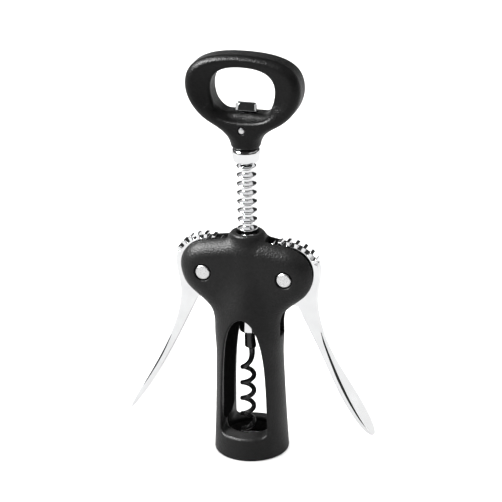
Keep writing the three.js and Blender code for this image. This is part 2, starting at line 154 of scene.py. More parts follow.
def union(a, b, radius):
    """Two fields joined with a concave fillet of that radius."""
    edge = np.hypot(np.maximum(radius - a, 0), np.maximum(radius - b, 0))
    return np.maximum(radius, np.minimum(a, b)) - edge


def both(a, b, radius):
    """Where two fields overlap, with a convex rounded edge of that radius."""
    edge = np.hypot(np.maximum(radius + a, 0), np.maximum(radius + b, 0))
    return np.minimum(-radius, np.maximum(a, b)) + edge


def cut(a, b, radius):
    """The first field less the second, with rounded edges."""
    return both(a, -b, radius)


def melt(a, b, width):
    """Two fields joined by a soft blend as wide as width."""
    mix = np.clip(0.5 + 0.5 * (b - a) / width, 0, 1)
    return b + (a - b) * mix - width * mix * (1 - mix)


def smooth(value, low, high):
    """0 below low, 1 above high, and a smooth step between them."""
    t = np.clip((value - low) / (high - low), 0, 1)
    return t * t * (3 - 2 * t)


def bezier(*corners, steps=24):
    """Points of a cubic curve, without its first point."""
    t = np.linspace(0, 1, steps + 1)[1:, None]
    a, b, c, d = np.array(corners, float)
    return (1 - t) ** 3 * a + 3 * t * (1 - t) ** 2 * b + 3 * t * t * (1 - t) * c + t**3 * d


def mirrored(half):
    """A closed outline from its half with u >= 0, which runs from the axis round to the axis."""
    half = np.array(half, float)
    return np.vstack([half, half[::-1] * [-1, 1]])


class Outline:
    """Signed distance to a closed outline in a plane, looked up smoothly in a fine table."""

    MARGIN = 5.0

    def __init__(self, points, step=0.25):
        points = np.asarray(points, float)
        self.step = step
        self.low = points.min(0) - self.MARGIN
        self.count = np.ceil((points.max(0) + self.MARGIN - self.low) / step).astype(int) + 1
        u = self.low[0] + step * np.arange(self.count[0])[:, None]
        v = self.low[1] + step * np.arange(self.count[1])[None, :]
        nearest = np.full(tuple(self.count), 1e9)
        inside = np.zeros(tuple(self.count), bool)
        for (au, av), (bu, bv) in zip(points, np.roll(points, -1, axis=0)):
            du, dv = bu - au, bv - av
            length = du * du + dv * dv
            if length < 1e-12:
                continue
            t = np.clip(((u - au) * du + (v - av) * dv) / length, 0, 1)
            nearest = np.minimum(nearest, (u - au - t * du) ** 2 + (v - av - t * dv) ** 2)
            if av != bv:
                inside ^= ((av > v) != (bv > v)) & (u < du * (v - av) / dv + au)
        self.table = np.sqrt(nearest) * np.where(inside, -1, 1)

    def __call__(self, u, v):
        u, v = np.broadcast_arrays(u, v)
        total = np.zeros(u.shape)
        place = []
        beyond = 0
        for value, low, count in ((u, self.low[0], self.count[0]), (v, self.low[1], self.count[1])):
            along = (value - low) / self.step
            kept = np.clip(along, 1, count - 3.001)
            beyond = beyond + ((along - kept) * self.step) ** 2
            cell = kept.astype(int)
            t = kept - cell
            weights = (
                (1 - t) ** 3 / 6,
                (4 - 6 * t**2 + 3 * t**3) / 6,
                (1 + 3 * t + 3 * t**2 - 3 * t**3) / 6,
                t**3 / 6,
            )
            place.append((cell, weights))
        (cell_u, weights_u), (cell_v, weights_v) = place
        for i in range(4):
            for j in range(4):
                total += weights_u[i] * weights_v[j] * self.table[cell_u + i - 1, cell_v + j - 1]
        return total + np.sqrt(beyond)


def gradient(field, points, reach=0.04):
    """How a field changes at each point."""
    slopes = np.empty_like(points)
    for axis in range(3):
        offset = np.zeros(3)
        offset[axis] = reach
        ahead = field(*(points + offset).T)
        slopes[:, axis] = (ahead - field(*(points - offset).T)) / (2 * reach)
    return slopes


def settle(field, points, limit):
    """Moves points onto the field's surface, each step no longer than limit."""
    for _ in range(2):
        slopes = gradient(field, points)
        size = np.maximum((slopes**2).sum(1), 0.05)
        points = points - slopes * np.clip(field(*points.T) / size, -limit, limit)[:, None]
    return points


def make_object(name, points, faces, normals=None):
    """A mesh object from points in millimetres."""
    mesh = bpy.data.meshes.new(name)
    mesh.from_pydata((np.asarray(points) * MM).tolist(), [], [list(map(int, f)) for f in faces])
    mesh.polygons.foreach_set("use_smooth", [True] * len(mesh.polygons))
    mesh.update()
    if normals is not None:
        mesh.normals_split_custom_set_from_vertices(normals.tolist())
    thing = bpy.data.objects.new(name, mesh)
    bpy.context.scene.collection.objects.link(thing)
    return thing


def mesh_of_field(name, field, low, high, cell):
    """A fine closed mesh of the field's surface between two corners, with the field's own normals."""
    axes = [np.arange(a, b + cell, cell) for a, b in zip(low, high)]
    x, y, z = np.meshgrid(*axes, indexing="ij", sparse=True)
    values = np.broadcast_to(field(x, y, z), [len(a) for a in axes])
    grid = openvdb.FloatGrid(background=float(values.max()))
    grid.copyFromArray(np.ascontiguousarray(values, dtype=np.float32))
    points, triangles, quads = grid.convertToPolygons(isovalue=0.0, adaptivity=0.0)
    points = points * cell + np.array([a[0] for a in axes])
    points = settle(field, points.astype(float), cell / 2)
    slopes = gradient(field, points)
    normals = slopes / np.maximum(np.linalg.norm(slopes, axis=1, keepdims=True), 1e-9)
    faces = [*quads.tolist(), *triangles.tolist()]
    a, b, c = (points[[f[i] for f in faces]] for i in range(3))
    outward = (np.cross(b - a, c - a) * normals[[f[0] for f in faces]]).sum()
    if outward < 0:
        faces = [f[::-1] for f in faces]
    return make_object(name, points, faces, normals)


def lathe(name, profile, segments=96, axis="Z", centre=(0, 0, 0)):
    """A turned solid from (radius, height) points: from axis to axis, or a closed ring."""
    profile = np.array(profile, float)
    ring = profile[0, 0] > 0
    points, faces, rows = [], [], []
    angles = 2 * np.pi * np.arange(segments) / segments
    for radius, height in profile:
        if radius <= 0:
            rows.append([len(points)] * segments)
            points.append((0, 0, height))
        else:
            rows.append(list(range(len(points), len(points) + segments)))
            points.extend((radius * math.cos(a), radius * math.sin(a), height) for a in angles)
    for lower, upper in zip(rows, rows[1:] + rows[:1] if ring else rows[1:]):
        for i in range(segments):
            j = (i + 1) % segments
            face = [lower[i], lower[j], upper[j], upper[i]]
            face = [v for k, v in enumerate(face) if v != face[k - 1]]
            faces.append(face)
    points = np.array(points, float)
    if axis == "Y":
        points = points[:, [0, 2, 1]]
        faces = [f[::-1] for f in faces]
    return make_object(name, points + np.array(centre, float), faces)


def sharpen(thing, degrees):
    """Shades smooth, but keeps edges above an angle sharp."""
    thing.data.set_sharp_from_angle(angle=math.radians(degrees))


def rounded(profile, radius, steps=3):
    """A profile with each of its inner corners rounded by an arc-like curve."""
    profile = np.array(profile, float)
    result = [profile[0]]
    for before, corner, after in zip(profile, profile[1:], profile[2:]):
        back, ahead = before - corner, after - corner
        reach = min(radius, 0.45 * np.hypot(*back), 0.45 * np.hypot(*ahead))
        start = corner + back / max(np.hypot(*back), 1e-9) * reach
        end = corner + ahead / max(np.hypot(*ahead), 1e-9) * reach
        for t in np.linspace(0, 1, steps + 1):
            result.append((1 - t) ** 2 * start + 2 * t * (1 - t) * corner + t * t * end)
    result.append(profile[-1])
    return result


# ------------------------------------------------------------------ frame body


def head_outline():
    """Front outline of the shoulders, from inside the bell up to the collar."""
    return mirrored([
        (0, 48),
        (10.5, 48),
        *bezier((10.5, 48), (12.5, 54), (15.0, 58), (15.2, 65)),
        *bezier((15.2, 65), (15.6, 78), (28.9, 80.3), (32.0, 88.4)),
        *bezier((32.0, 88.4), (35.5, 96.5), (34.2, 107), (21, 110)),
        (COLLAR_RADIUS, 112.2),
        (0, 112.2),
    ])


def window_outline():
    """Tall arch of a window, which runs on below its sill."""
    foot, half = 4, WINDOW_HALF_WIDTH
    return mirrored([
        (0, foot),
        (half + 0.3, foot),
        *bezier((half + 0.3, foot), (half + 0.2, 9), (half, 12), (half, 15)),
        *bezier((half, 15), (10.8, 47), (10.6, 72), (0, WINDOW_TOP), steps=40),
    ])


def slot_outline():
    """Slot of the right-hand gear and web; its mirror image serves the left."""
    radius = GEAR_TIP + 0.55
    rim, neck_side = 9.4, 13.8
    floor, beyond = 62.5, 45
    start = math.acos((rim - PIVOT_X) / radius)
    end = 2 * math.pi - math.acos((neck_side - PIVOT_X) / radius)
    arc = [
        (PIVOT_X + radius * math.cos(a), PIVOT_Z + radius * math.sin(a))
        for a in np.linspace(start, end, 48)
    ]
    top = COLLAR_TOP + 6
    return [(rim, top), *arc, (neck_side, floor), (beyond, floor), (beyond, top)]


def make_body():
    """Bell, shoulders and collar in one piece, hollow, with two windows, two gear slots and rivet holes."""
    head, window, slot = Outline(head_outline()), Outline(window_outline()), Outline(slot_outline())

    def field(x, y, z):
        around = np.hypot(x, y)
        lower = np.clip(1 - z / WAIST_Z, 0, 1)
        upper = np.maximum(z - NARROWING_Z, 0) / NARROWING_HEIGHT
        slope = 2 * NARROWING_DEPTH / NARROWING_HEIGHT * upper
        bell_radius = NECK_RADIUS + (BELL_RADIUS - NECK_RADIUS) * lower**1.5 - NARROWING_DEPTH * upper**2
        bell = (around - bell_radius) / np.sqrt(1 + slope**2)
        bell = both(bell, -z, 1.0)
        front = np.abs(y) - HEAD_HALF_DEPTH
        shoulders = both(head(x, z), front, HEAD_ROUND)
        solid = melt(bell, shoulders, 5.0)
        collar = both(around - COLLAR_RADIUS, z - COLLAR_TOP, 1.3)
        collar = np.maximum(collar, 95 - z)
        solid = union(solid, collar, 3.0)
        taper = np.clip((z - CAVITY_TOP) / 5, 0, 1)
        cavity_radius = CAVITY_RADIUS + (BORE_RADIUS - CAVITY_RADIUS) * taper
        cavity = np.minimum(around - cavity_radius, np.maximum(around - MOUTH_RADIUS, z - SEAT_Z))
        solid = cut(solid, cavity, 0.5)
        depth = np.clip(BELL_RADIUS - around, 0, BELL_RADIUS - CAVITY_RADIUS)
        sill = np.where(y < 0, FRONT_SILL_Z + FRONT_SILL_RISE * depth, REAR_SILL_Z)
        solid = cut(solid, both(window(x, z), sill - z, 3.0), 1.1)
        side = np.abs(x)
        gear_slot = both(slot(side, z), np.abs(y) - GEAR_SLOT_HALF, 0.4)
        solid = cut(solid, gear_slot, 0.45)
        from_pivot = np.hypot(side - PIVOT_X, z - PIVOT_Z)
        solid = np.maximum(solid, PIN_RADIUS + CLEARANCE - from_pivot)
        recess = np.maximum(from_pivot - PIN_RECESS_RADIUS, -front - PIN_RECESS_DEPTH)
        return cut(solid, recess, 0.35)

    return mesh_of_field("bell_and_shoulders", field, (-37, -19.5, -1.2), (37, 19.5, 116.4), 0.4)


# ------------------------------------------------------------------ handle


def handle_outline():
    """Front outline of the loop and its neck, which runs on below the handle's foot."""
    wide = HANDLE_HALF_WIDTH
    return mirrored([
        (0, 153),
        (7.05, 153),
        (7.1, 158),
        *bezier((7.1, 158), (7.5, 165), (13.5, 167.6), (17.6, 170.3)),
        *bezier((17.6, 170.3), (23.5, 174.1), (wide, 180.7), (wide, HANDLE_WIDE_Z)),
        *bezier((wide, HANDLE_WIDE_Z), (wide, 198), (21.4, HANDLE_TOP_Z), (0, HANDLE_TOP_Z)),
    ])


def hole_outline():
    """Front outline of the finger hole."""
    wide = HOLE_HALF_WIDTH
    return mirrored([
        (0, HOLE_FLOOR_Z),
        (8.5, HOLE_FLOOR_Z),
        *bezier((8.5, HOLE_FLOOR_Z), (13.5, HOLE_FLOOR_Z), (wide, 182.5), (wide, 187)),
        *bezier((wide, 187), (wide, 195.5), (9, HOLE_TOP_Z), (0, HOLE_TOP_Z)),
    ])


def make_handle():
    """Moulded loop with a funnelled finger hole, a dish scooped into its front, and its fittings' holes."""
    outer, hole = Outline(handle_outline()), Outline(hole_outline())

    def field(x, y, z):
        rim, inner = outer(x, z), hole(x, z)
        inward = np.maximum(-rim, 0)
        share = inward / np.maximum(inward + np.maximum(inner, 0), 1e-3)
        funnel = 2.0 * smooth(share, 0.2, 1.1) * smooth(z, 174, 182)
        rounding = HANDLE_ROUND + (6.9 - HANDLE_ROUND) * (1 - smooth(z, 159, 172))
        loop = both(rim, np.abs(y) - HANDLE_HALF_DEPTH + funnel, rounding)
        solid = both(loop, HANDLE_FOOT_Z - z, 1.5)
        solid = cut(solid, inner, 1.5)
        hump = np.exp(-(((x - 0.5) / 6.0) ** 4))
        across, deep = x / DISH_HALF_WIDTH, (y - DISH_Y + hump) / DISH_HALF_DEPTH
        dish = np.sqrt(across**2 + deep**2 + ((z - DISH_Z) / DISH_HALF_HEIGHT) ** 2)
        solid = cut(solid, (dish - 1) * DISH_HALF_HEIGHT, 1.2)
        bore = np.maximum(np.hypot(x, y) - HANDLE_BORE_RADIUS, z - SPINDLE_TOP_Z - CLEARANCE)
        solid = np.maximum(solid, -bore)
        pin = np.hypot(x, z - HANDLE_PIN_Z) - HANDLE_PIN_RADIUS - CLEARANCE
        solid = cut(solid, pin, 0.2)
        pocket_y = np.abs(y - OPENER_FRONT_Y - OPENER_THICKNESS / 2) - OPENER_THICKNESS / 2 - CLEARANCE
        pocket = np.maximum(pocket_y, np.abs(x) - OPENER_HALF_WIDTH - CLEARANCE)
        pocket = np.maximum(pocket, np.abs(z - OPENER_FOOT_Z - 3) - 3.3)
        return cut(solid, pocket, 0.2)

    return mesh_of_field("loop_handle", field, (-30, -8.4, 156.5), (30, 8.4, 205.4), 0.33)


# ------------------------------------------------------------------ levers


def involute(angle):
    return math.tan(angle) - angle


def ring_half(radius):
    """Half thickness of a spindle ring at a radius."""
    return RING_RIM_HALF + (RING_RADIUS - radius) * math.tan(PRESSURE)


def tooth_half_angle(radius):
    """Half the angle that an involute tooth takes up at a radius."""
    base = GEAR_RADIUS * math.cos(PRESSURE)
    slant = math.acos(min(1, base / radius))
    thickness = RING_PITCH - 2 * ring_half(PIVOT_X - GEAR_RADIUS) - BACKLASH
    return thickness / 2 / GEAR_RADIUS + involute(PRESSURE) - involute(slant)


def ring_heights():
    """Middle of each ring of the spindle at rest, from the top down."""
    return [RING_TOP_Z - i * RING_PITCH for i in range(RING_COUNT)]


def lever_outline():
    """Side outline of the right-hand lever."""
    step = 2 * math.pi / GEAR_TEETH
    flank = GEAR_TIP - 0.7
    mesh_ring = min(ring_heights(), key=lambda z: abs(z - PIVOT_Z))
    gap = math.pi - (mesh_ring - PIVOT_Z) / GEAR_RADIUS

    def polar(radius, angle):
        return PIVOT_X + radius * math.cos(angle), PIVOT_Z + radius * math.sin(angle)

    points = [(25.4, 78.7), polar(GEAR_ROOT, gap + (TEETH_BELOW_MESH + 1) * step)]
    for i in range(-TEETH_BELOW_MESH, TEETH_ABOVE_MESH):
        middle = gap - (i + 0.5) * step
        points += [polar(r, middle + tooth_half_angle(r)) for r in (GEAR_ROOT, flank, GEAR_TIP)]
        points += [polar(r, middle - tooth_half_angle(r)) for r in (GEAR_TIP, flank, GEAR_ROOT)]
    points.append((35.1, 101.6))
    points += list(bezier((35.1, 101.6), (36.4, 98.5), (36.0, 94), (35.0, 89)))
    points += list(bezier((35.0, 89), (34.4, 85), (34.2, 83), (34.3, 80)))
    points += list(bezier((34.3, 80), (35.5, 58), (54, 31), (62.9, 14), steps=60))
    points += list(bezier((62.2, 13.6), (46.5, 32.5), (33, 63), (25.4, 78.7), steps=60))[:-1]
    return points


def make_lever(name, side):
    """One lever with its gear and hub: narrow at the shoulder, and spread into a spoon towards its tip."""
    outline = Outline(lever_outline(), 0.15)
    arm = (math.sin(LEVER_ANGLE), -math.cos(LEVER_ANGLE))

    def field(x, y, z):
        profile = outline(side * x, z)
        along = (side * x - PIVOT_X) * arm[0] + (z - PIVOT_Z) * arm[1]
        flare = smooth(along, SPOON_START, SPOON_WIDEST)
        tip = np.clip((along - SPOON_WIDEST) / (LEVER_TIP - SPOON_WIDEST), 0, 1)
        half_width = GEAR_HALF_WIDTH + (SPOON_HALF_WIDTH - GEAR_HALF_WIDTH) * flare
        half_width = half_width * np.sqrt(np.maximum(1 - tip**2.4, 0))
        sides = np.abs(y) - half_width
        across = (side * x - PIVOT_X) * -arm[1] + (z - PIVOT_Z) * arm[0]
        outside = smooth(across - np.interp(along, (20, 55, 91), (0.8, -3.6, -2.8)), -0.8, 0.8)
        radius = 0.22 + 0.3 * smooth(along, 14, 34)
        radius = radius + 0.75 * outside * smooth(along, 8, 20) * (1 - 0.55 * smooth(along, 62, 92))
        arm_solid = both(profile, sides, radius)
        from_pivot = np.hypot(side * x - PIVOT_X, z - PIVOT_Z)
        hub = both(from_pivot - HUB_RADIUS, np.abs(y) - HUB_HALF_WIDTH, 0.25)
        solid = np.minimum(arm_solid, hub)
        return np.maximum(solid, PIN_RADIUS + CLEARANCE - from_pivot)

    ends = sorted((side * 1.0, side * 64.5))
    return mesh_of_field(name, field, (ends[0], -7.6, 12.4), (ends[1], 7.6, 113.6), 0.3)


# ------------------------------------------------------------------ spindle, ferrule, pins


def make_spindle():
    """Turned rod: a wide foot, the rack's rings, and a plain head inside the handle."""
    root = ring_half(CORE_RADIUS)
    foot, neck, head, bevel = SPINDLE_FOOT_RADIUS, SPINDLE_NECK_RADIUS, 3.5, 0.35
    profile = [
        (0, SPINDLE_FOOT_Z),
        (foot - bevel, SPINDLE_FOOT_Z),
        (foot, SPINDLE_FOOT_Z + bevel),
        (foot, 71),
        (neck, 71.6),
        (neck, 78),
        (CORE_RADIUS, 78.6),
    ]
    for z in reversed(ring_heights()):
        profile += [
            (CORE_RADIUS, z - root),
            (RING_RADIUS, z - RING_RIM_HALF),
            (RING_RADIUS, z + RING_RIM_HALF),
            (CORE_RADIUS, z + root),
        ]
    profile += [(head, 150.9), (head, SPINDLE_TOP_Z - 0.6), (head - 0.6, SPINDLE_TOP_Z), (0, SPINDLE_TOP_Z)]
    return lathe("rack_rod", rounded(profile, 0.42))


def make_ferrule():
    """Flared ring between the rack and the handle, with a rounded top edge."""
    inner = 3.8
    profile = [
        (inner, FERRULE_FOOT_Z),
        (5.4, FERRULE_FOOT_Z),
        (6.1, FERRULE_FOOT_Z + 0.5),
        (6.4, FERRULE_FOOT_Z + 1.6),
        (FERRULE_RADIUS, FERRULE_TOP_Z - 1.9),
        *bezier(
            (FERRULE_RADIUS, FERRULE_TOP_Z - 1.9),
            (FERRULE_RADIUS + 0.05, FERRULE_TOP_Z - 0.7),
            (FERRULE_RADIUS - 0.8, FERRULE_TOP_Z),
            (FERRULE_RADIUS - 1.9, FERRULE_TOP_Z),
            steps=12,
        ),
        (inner, FERRULE_TOP_Z),
    ]
    thing = lathe("neck_ring", profile)
    sharpen(thing, 40)
    return thing


def make_pin(name, radius, half_length, dome, z):
    """A turned pin through the axis along Y, with domed ends and a faint chamfer."""
    half = [(radius, half_length - dome), (radius - 0.25, half_length - 0.45 * dome)]
    half += [
        (radius * 0.9 * math.cos(t), half_length - 0.45 * dome + 0.45 * dome * math.sin(t))
        for t in np.linspace(0.1, math.pi / 2, 8)
    ]
    half[-1] = (0, half_length)
    profile = [(r, -y) for r, y in reversed(half)] + half
    return lathe(name, profile, 64, "Y", (0, 0, z))


def make_rivet(name, side):
    """Rivet through the shoulders, with a flat head in the recess at each end."""
    under = PIN_FACE_Y - 1.35
    half = [
        (PIN_RADIUS, 0),
        (PIN_RADIUS, under),
        (PIN_HEAD_RADIUS, under),
        (PIN_HEAD_RADIUS, PIN_FACE_Y - 0.35),
        (PIN_HEAD_RADIUS - 0.35, PIN_FACE_Y - 0.05),
        (PIN_HEAD_RADIUS - 0.8, PIN_FACE_Y),
        (1.6, PIN_FACE_Y),
        (0, PIN_FACE_Y - 0.03),
    ]
    profile = [(r, -y) for r, y in reversed(half)] + half[1:]
    thing = lathe(name, profile, 64, "Y", (side * PIVOT_X, 0, PIVOT_Z))
    sharpen(thing, 30)
    return thing


# ------------------------------------------------------------------ worm


def worm_path(samples=420):
    """Middle of the wire: a right-handed coil whose last half turn climbs steeply into the shank's side."""
    coil_end = 0.86
    last_turn, easing = math.pi + 0.17, 2.2
    first_rise = 9.86
    t = np.linspace(0, 1, samples)
    along = np.minimum(t / coil_end, 1)
    climb = np.maximum((t - coil_end) / (1 - coil_end), 0)
    angle = math.pi + 2 * math.pi * COIL_TURNS * (along - 1) + last_turn * (1 - (1 - climb) ** easing)
    radius = COIL_RADIUS - 1.05 * climb
    x = COIL_OFFSET + COIL_LEAN * (1 - along) + radius * np.cos(angle)
    coil_top = WORM_TIP_Z + COIL_PITCH * COIL_TURNS
    z = coil_top + COIL_PITCH * COIL_TURNS * (along - 1) + first_rise * climb
    z = z + (SHANK_FOOT_Z + 1 - coil_top - first_rise) * climb**2
    return np.stack([x, radius * np.sin(angle), z], axis=1)


def wire_distance(path, radius, x, y, z):
    """Distance to a wire, found in bands of height so that each looks only at the path near it."""
    reach, band_height, batch = 3.0, 1.5, 4000
    x, y, z = np.broadcast_arrays(x, y, z)
    shape = x.shape
    x, y, z = x.ravel(), y.ravel(), z.ravel()
    result = np.full(x.shape, reach)
    band = np.floor(z / band_height).astype(int)
    order = np.argsort(band, kind="stable")
    edges = np.flatnonzero(np.diff(band[order])) + 1
    for chosen in np.split(order, edges):
        level = z[chosen[0]] // band_height * band_height
        near = np.flatnonzero((path[:, 2] > level - reach) & (path[:, 2] < level + band_height + reach))
        near = near[near < len(path) - 1]
        if not len(near):
            continue
        for part in np.array_split(chosen, max(1, len(chosen) // batch)):
            p = np.stack([x[part], y[part], z[part]], axis=1)[:, None, :]
            a, b = path[near][None], path[near + 1][None]
            along = ((p - a) * (b - a)).sum(2) / np.maximum(((b - a) ** 2).sum(2), 1e-9)
            along = np.clip(along, 0, 1)
            gap = np.linalg.norm(p - a - along[..., None] * (b - a), axis=2)
            thick = radius[near][None] * (1 - along) + radius[near + 1][None] * along
            result[part] = (gap - thick).min(1)
    return result.reshape(shape)


def make_worm():
    """Wire coil that tapers to a point at its foot and melts into a thicker shank at its head."""
    path = worm_path()
    forward = path[0] - path[1]
    forward /= np.linalg.norm(forward)
    tip_points = 12
    tip = path[0] + forward * np.linspace(3.6, 0.3, tip_points)[:, None]
    path = np.vstack([tip, path])
    radius = np.full(len(path), WIRE_RADIUS)
    radius[:tip_points] = np.linspace(0.12, WIRE_RADIUS * 0.98, tip_points)
    radius += 0.35 * smooth(path[:, 2], SHANK_FOOT_Z - 10.2, SHANK_FOOT_Z)
    middle, half = (SHANK_TOP_Z + SHANK_FOOT_Z) / 2, (SHANK_TOP_Z - SHANK_FOOT_Z) / 2

    def field(x, y, z):
        shank = both(np.hypot(x, y) - SHANK_RADIUS, np.abs(z - middle) - half, 0.3)
        return melt(wire_distance(path, radius, x, y, z), shank, 2.3)

    return mesh_of_field("worm_wire", field, (-6.6, -4.6, 5.6), (3.6, 4.6, 63.4), 0.22)


# ------------------------------------------------------------------ opener


def make_opener():
    """Stamped steel tab with a turned lip, rounded on every edge."""

    def field(x, y, z):
        middle = (OPENER_TOP_Z + OPENER_FOOT_Z) / 2
        half_height = (OPENER_TOP_Z - OPENER_FOOT_Z) / 2
        width = np.abs(x) - OPENER_HALF_WIDTH
        height = np.abs(z - middle) - half_height
        plan = both(width, height, 1.5)
        thickness = np.abs(y - OPENER_FRONT_Y - OPENER_THICKNESS / 2) - OPENER_THICKNESS / 2
        blade = both(plan, thickness, 0.3)
        below_top = OPENER_TOP_Z - z
        lip = both(np.abs(x - 0.9) - 3.9 - 0.12 * below_top, np.abs(z - OPENER_TOP_Z + 1.7) - 1.7, 0.8)
        slope = (y + 0.25 + 0.46 * below_top) / 1.1
        lip = both(lip, np.abs(slope - 0.5) - 0.75, 0.3)
        return union(blade, lip, 0.4)

    return mesh_of_field("opener_tab", field, (-5.8, -1.6, 171.2), (5.8, 3.0, 179.9), 0.16)


# ------------------------------------------------------------------ materials


class Nodes:
    """Short calls that fill a node tree."""

    def __init__(self, tree):
        self.nodes, self.links = tree.nodes, tree.links

    def add(self, kind, **inputs):
        """A new node with values on its inputs."""
        node = self.nodes.new(kind)
        for name, value in inputs.items():
            node.inputs[name.replace("_", " ")].default_value = value
        return node

    def split(self, vector):
        """The three coordinates of a vector."""
        node = self.add("ShaderNodeSeparateXYZ")
        self.links.new(vector, node.inputs["Vector"])
        return [node.outputs[axis] for axis in "XYZ"]

    def remap(self, value, low, high, start=0.3, end=0.7, soft=False):
        """Carries start..end over to low..high, in a straight line or softly."""
        node = self.add("ShaderNodeMapRange", From_Min=start, From_Max=end, To_Min=low, To_Max=high)
        if soft:
            node.interpolation_type = "SMOOTHSTEP"
        self.links.new(value, node.inputs["Value"])
        return node.outputs["Result"]

    def math(self, operation, *values):
        """One arithmetic node on outputs or plain numbers."""
        node = self.add("ShaderNodeMath")
        node.operation = operation
        for socket, value in zip(node.inputs, values):
            if isinstance(value, (int, float)):
                socket.default_value = value
            else:
                self.links.new(value, socket)
        return node.outputs["Value"]


class Material(Nodes):
    """A node material built with a few short calls."""

    def __init__(self, name):
        self.material = bpy.data.materials.new(name)
        self.material.use_nodes = True
        super().__init__(self.material.node_tree)
        self.shader = self.nodes["Principled BSDF"]
        self.place = self.add("ShaderNodeTexCoord").outputs["Object"]

    def set(self, **inputs):
        """Constants on the shader's own sockets."""
        for name, value in inputs.items():
            self.shader.inputs[name.replace("_", " ")].default_value = value

    def noise(self, size_mm, detail=2.0, rough=0.5, stretch=None):
        """Noise whose features are about size_mm across, stretched along the axes if asked."""
        node = self.add("ShaderNodeTexNoise", Scale=1 / (size_mm * MM), Detail=detail, Roughness=rough)
        place = self.place
        if stretch:
            mapping = self.add("ShaderNodeMapping")
            mapping.inputs["Scale"].default_value = stretch
            self.links.new(place, mapping.inputs["Vector"])
            place = mapping.outputs["Vector"]
        self.links.new(place, node.inputs["Vector"])
        return node.outputs["Fac"]

    def colour(self, value, *stops):
        """A colour ramp through (position, grey or colour) stops."""
        node = self.nodes.new("ShaderNodeValToRGB")
        ramp = node.color_ramp
        for i, (position, tone) in enumerate(stops):
            mark = ramp.elements[i] if i < 2 else ramp.elements.new(position)
            mark.position = position
            rgb = tone if isinstance(tone, tuple) else (tone, tone, tone)
            mark.color = (*rgb, 1)
        self.links.new(value, node.inputs["Fac"])
        return node.outputs["Color"]

    def feed(self, output, socket):
        """Links an output to one of the shader's sockets."""
        self.links.new(output, self.shader.inputs[socket])

    def bump(self, height, distance_mm, strength=1.0, after=None):
        """A normal bent by a height map, on top of another bump if asked."""
        node = self.add("ShaderNodeBump", Strength=strength, Distance=distance_mm * MM)
        self.links.new(height, node.inputs["Height"])
        if after is not None:
            self.links.new(after, node.inputs["Normal"])
        return node.outputs["Normal"]


def matte_black(name, hollow=None, sheen=0.24, tone=1.0, roughness=0.40):
    """Moulded black plastic with a fine grain and faint wear. Given a hollow radius, it carries painted
    shade: the sheen is taken out inside the bell's hollow below its ceiling and on its windows' jambs, so
    these read dark as if in shade.
    """
    m = Material(name)
    grain, mottle, cloud = m.noise(0.9, 2.5, 0.6), m.noise(2.0, 3), m.noise(14, 3)
    dark, light = (0.0060 * tone,) * 3, (0.0095 * tone,) * 3
    m.feed(m.colour(mottle, (0.3, dark), (0.7, light)), "Base Color")
    m.feed(m.remap(cloud, roughness, roughness + 0.07), "Roughness")
    if hollow:
        jamb_depth, jamb_foot, jamb_full = 2.4 * MM, 15 * MM, 19 * MM
        ceiling, above_ceiling = 70 * MM, 72 * MM
        x, y, z = m.split(m.place)
        away = m.math("SQRT", m.math("ADD", m.math("POWER", x, 2), m.math("POWER", y, 2)))
        jamb = m.remap(z, 0, jamb_depth, jamb_foot, jamb_full)
        outside = m.remap(m.math("SUBTRACT", away, jamb), 0, 1, hollow, hollow + 0.4 * MM)
        above = m.remap(z, 0, 1, ceiling, above_ceiling)
        # Painted shade: no specular sheen inside the hollow (and on the jambs above 19 mm), full sheen
        # outside it and above the ceiling.
        m.feed(m.remap(m.math("ADD", outside, above), 0.0, sheen, 0, 1), "Specular IOR Level")
    else:
        m.set(Specular_IOR_Level=sheen)
    coarse = m.bump(mottle, 0.03, 0.5)
    m.feed(m.bump(grain, 0.30, 0.9, after=coarse), "Normal")
    return m.material


def chrome(name, roughness=0.05):
    """Bright plated metal with faint haze and polishing marks."""
    m = Material(name)
    haze, marks = m.noise(9, 4), m.noise(0.5, 2, stretch=(1, 1, 0.12))
    m.feed(m.colour(haze, (0.3, (0.79, 0.793, 0.80)), (0.7, (0.86, 0.862, 0.87))), "Base Color")
    m.feed(m.remap(haze, roughness * 0.7, roughness * 1.5), "Roughness")
    m.set(Metallic=1.0)
    m.feed(m.bump(marks, 0.004, 0.25), "Normal")
    return m.material


def satin_steel(name, tone=0.70, roughness=0.3):
    """Turned steel with fine rings of tool marks and a mottled sheen."""
    m = Material(name)
    mottle, fine = m.noise(0.9, 3), m.noise(0.25, 2)
    m.feed(m.colour(mottle, (0.25, (tone * 0.86,) * 3), (0.75, (tone * 1.1,) * 3)), "Base Color")
    m.feed(m.remap(fine, roughness * 0.8, roughness * 1.25), "Roughness")
    m.set(Metallic=1.0)
    m.feed(m.bump(mottle, 0.05, 0.5, after=m.bump(fine, 0.01, 0.5)), "Normal")
    return m.material


def polished_steel(name):
    """Bright stamped steel with faint grain along its height."""
    m = Material(name)
    grain, haze = m.noise(0.2, 2, stretch=(1, 1, 0.08)), m.noise(2.5, 3)
    m.feed(m.colour(haze, (0.3, (0.52, 0.53, 0.54)), (0.7, (0.66, 0.665, 0.67))), "Base Color")
    m.feed(m.remap(grain, 0.06, 0.11), "Roughness")
    m.set(Metallic=1.0)
    m.feed(m.bump(grain, 0.004, 0.4), "Normal")
    return m.material


def worm_coating(name):
    """Glossy black low-friction coating, slightly uneven, over steel wire."""
    m = Material(name)
    peel, cloud = m.noise(0.8, 2), m.noise(5, 3)
    m.feed(m.colour(cloud, (0.3, (0.010, 0.010, 0.010)), (0.7, (0.017, 0.017, 0.017))), "Base Color")
    m.feed(m.remap(cloud, 0.20, 0.32), "Roughness")
    m.feed(m.bump(peel, 0.03, 0.5), "Normal")
    return m.material


